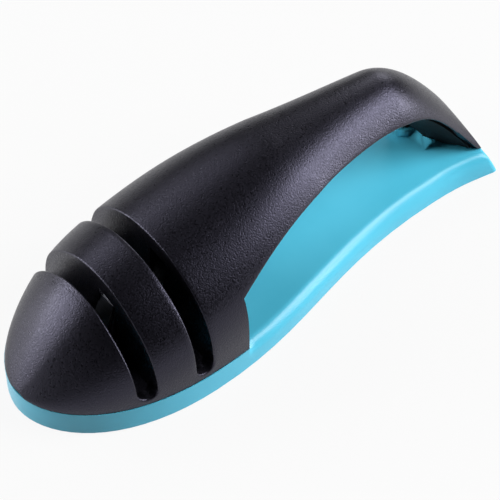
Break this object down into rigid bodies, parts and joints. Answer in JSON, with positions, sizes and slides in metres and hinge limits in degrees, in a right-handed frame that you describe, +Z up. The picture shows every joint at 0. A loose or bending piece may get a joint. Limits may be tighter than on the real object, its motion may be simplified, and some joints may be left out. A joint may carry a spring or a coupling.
{
  "type": "knife sharpener",
  "caption": "Hand-held knife sharpener with a domed black cover, transverse knife slots, an arched handle and a blue base",
  "frame": {"origin": "On the table under the middle of the overall length and width, level with the undersides of the rubber feet.", "axes": "+X runs from the domed nose to the raked tail, +Y to the long side that is turned away from the picture's camera, and +Z up."},
  "size_m": [0.202, 0.0712, 0.0603],
  "materials": {
    "blue_plastic": "smooth semi-gloss moulded ABS, cyan blue",
    "black_plastic": "fine spark-eroded satin texture, black",
    "carbide": "ground tungsten carbide, light grey",
    "ceramic": "unglazed sintered ceramic, dark grey",
    "screw_steel": "zinc-plated steel",
    "foot_rubber": "matt moulded rubber"
  },
  "bodies": {
    "root": {"base_plate": "blue_plastic", "cover": "black_plastic", "handle_liner": "black_plastic", "coarse_holder": "black_plastic", "coarse_plate_near": "carbide", "coarse_plate_far": "carbide", "fine_holder": "black_plastic", "fine_rod_near": "ceramic", "fine_rod_far": "ceramic", "cover_screw_nose": "screw_steel", "cover_screw_near": "screw_steel", "cover_screw_far": "screw_steel", "cover_screw_tail": "screw_steel", "holder_screw_coarse_near": "screw_steel", "holder_screw_coarse_far": "screw_steel", "holder_screw_fine_near": "screw_steel", "holder_screw_fine_far": "screw_steel", "foot_front_near": "foot_rubber", "foot_front_far": "foot_rubber", "foot_rear_near": "foot_rubber", "foot_rear_far": "foot_rubber"}
  },
  "joints": []
}
